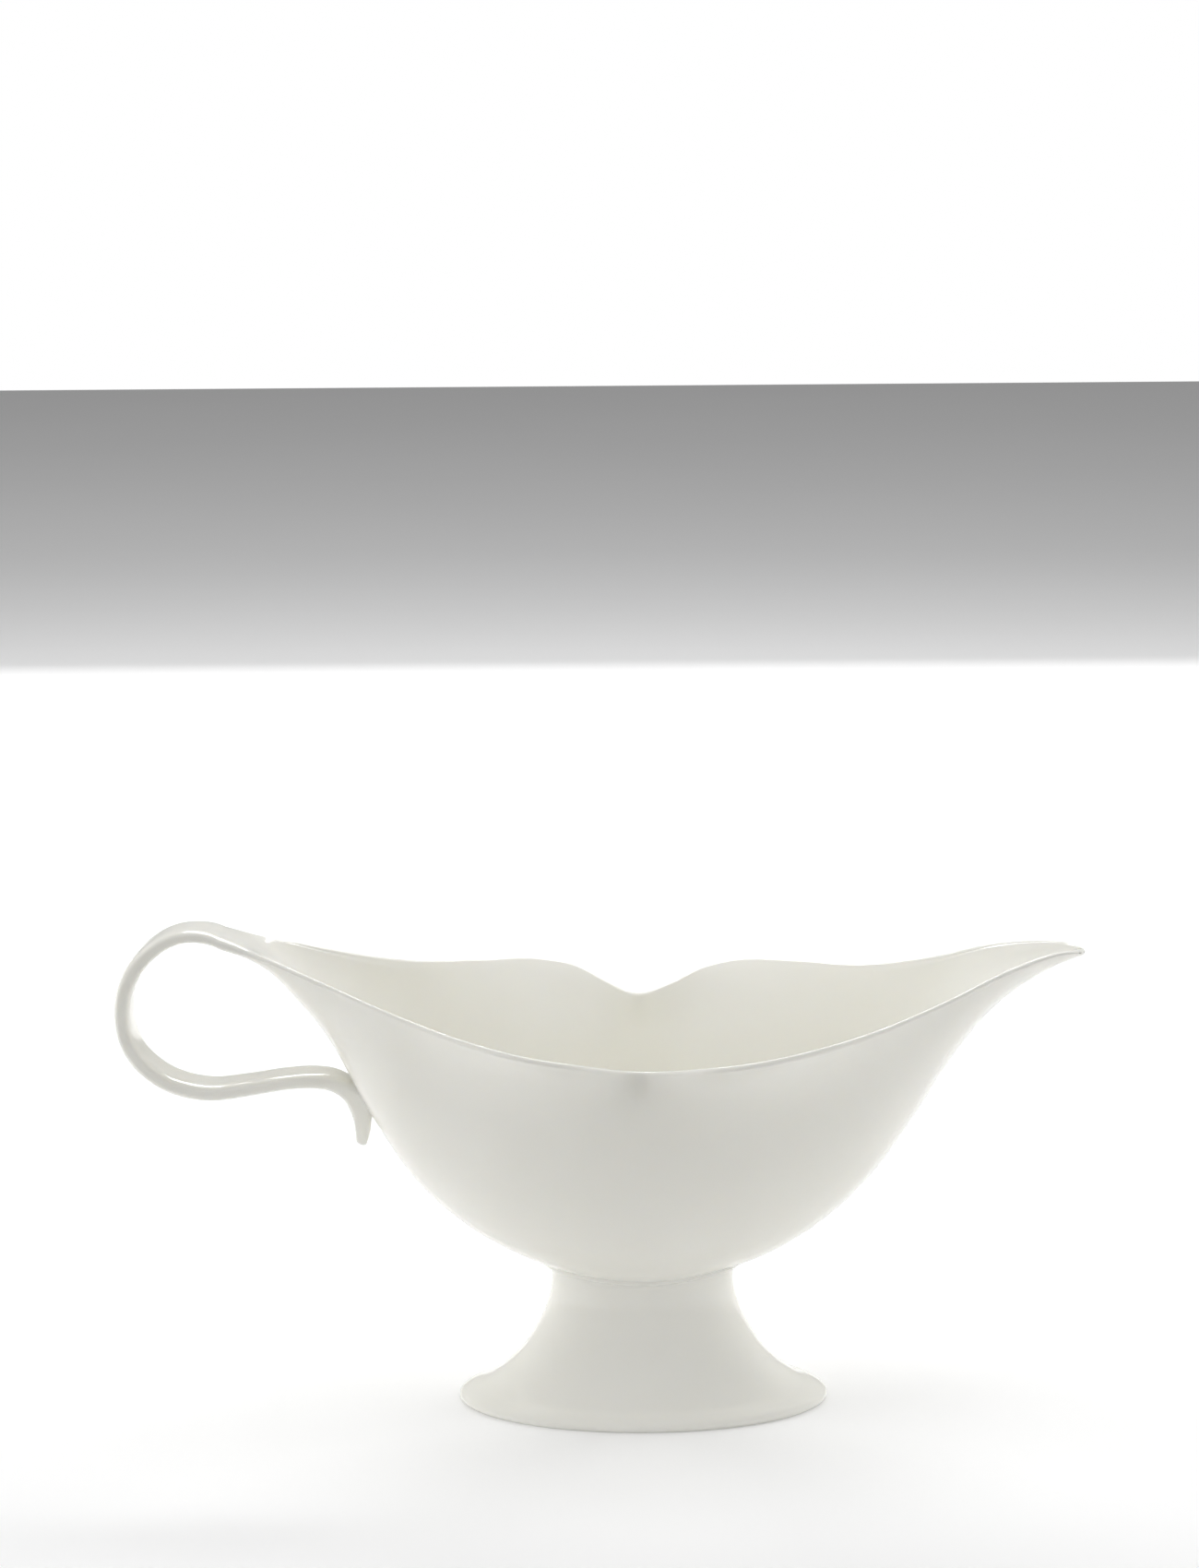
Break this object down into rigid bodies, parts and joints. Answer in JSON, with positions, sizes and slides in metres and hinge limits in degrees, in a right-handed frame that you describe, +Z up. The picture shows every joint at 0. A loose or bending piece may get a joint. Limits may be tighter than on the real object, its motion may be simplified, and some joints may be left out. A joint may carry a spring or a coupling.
{
  "type": "gravy boat",
  "caption": "White glazed porcelain gravy boat: double-lobed boat-shaped bowl with drawn spout, hollow oval pedestal foot and looped strap handle ending in a spur.",
  "frame": {"origin": "middle of the bounding box on the table surface that the foot stands on", "axes": "+X towards the spout, +Y across the bowl, +Z up"},
  "size_m": [0.2486, 0.1026, 0.1276],
  "materials": {
    "glazed_porcelain": "clear gloss glaze over warm off-white porcelain, even and smooth",
    "bare_porcelain": "unglazed fired porcelain, fine matt grain"
  },
  "bodies": {
    "root": {"bowl": "glazed_porcelain", "pedestal_foot": "glazed_porcelain", "handle": "glazed_porcelain", "foot_slip_joint": "bare_porcelain", "handle_slip_joint": "bare_porcelain"}
  },
  "joints": []
}
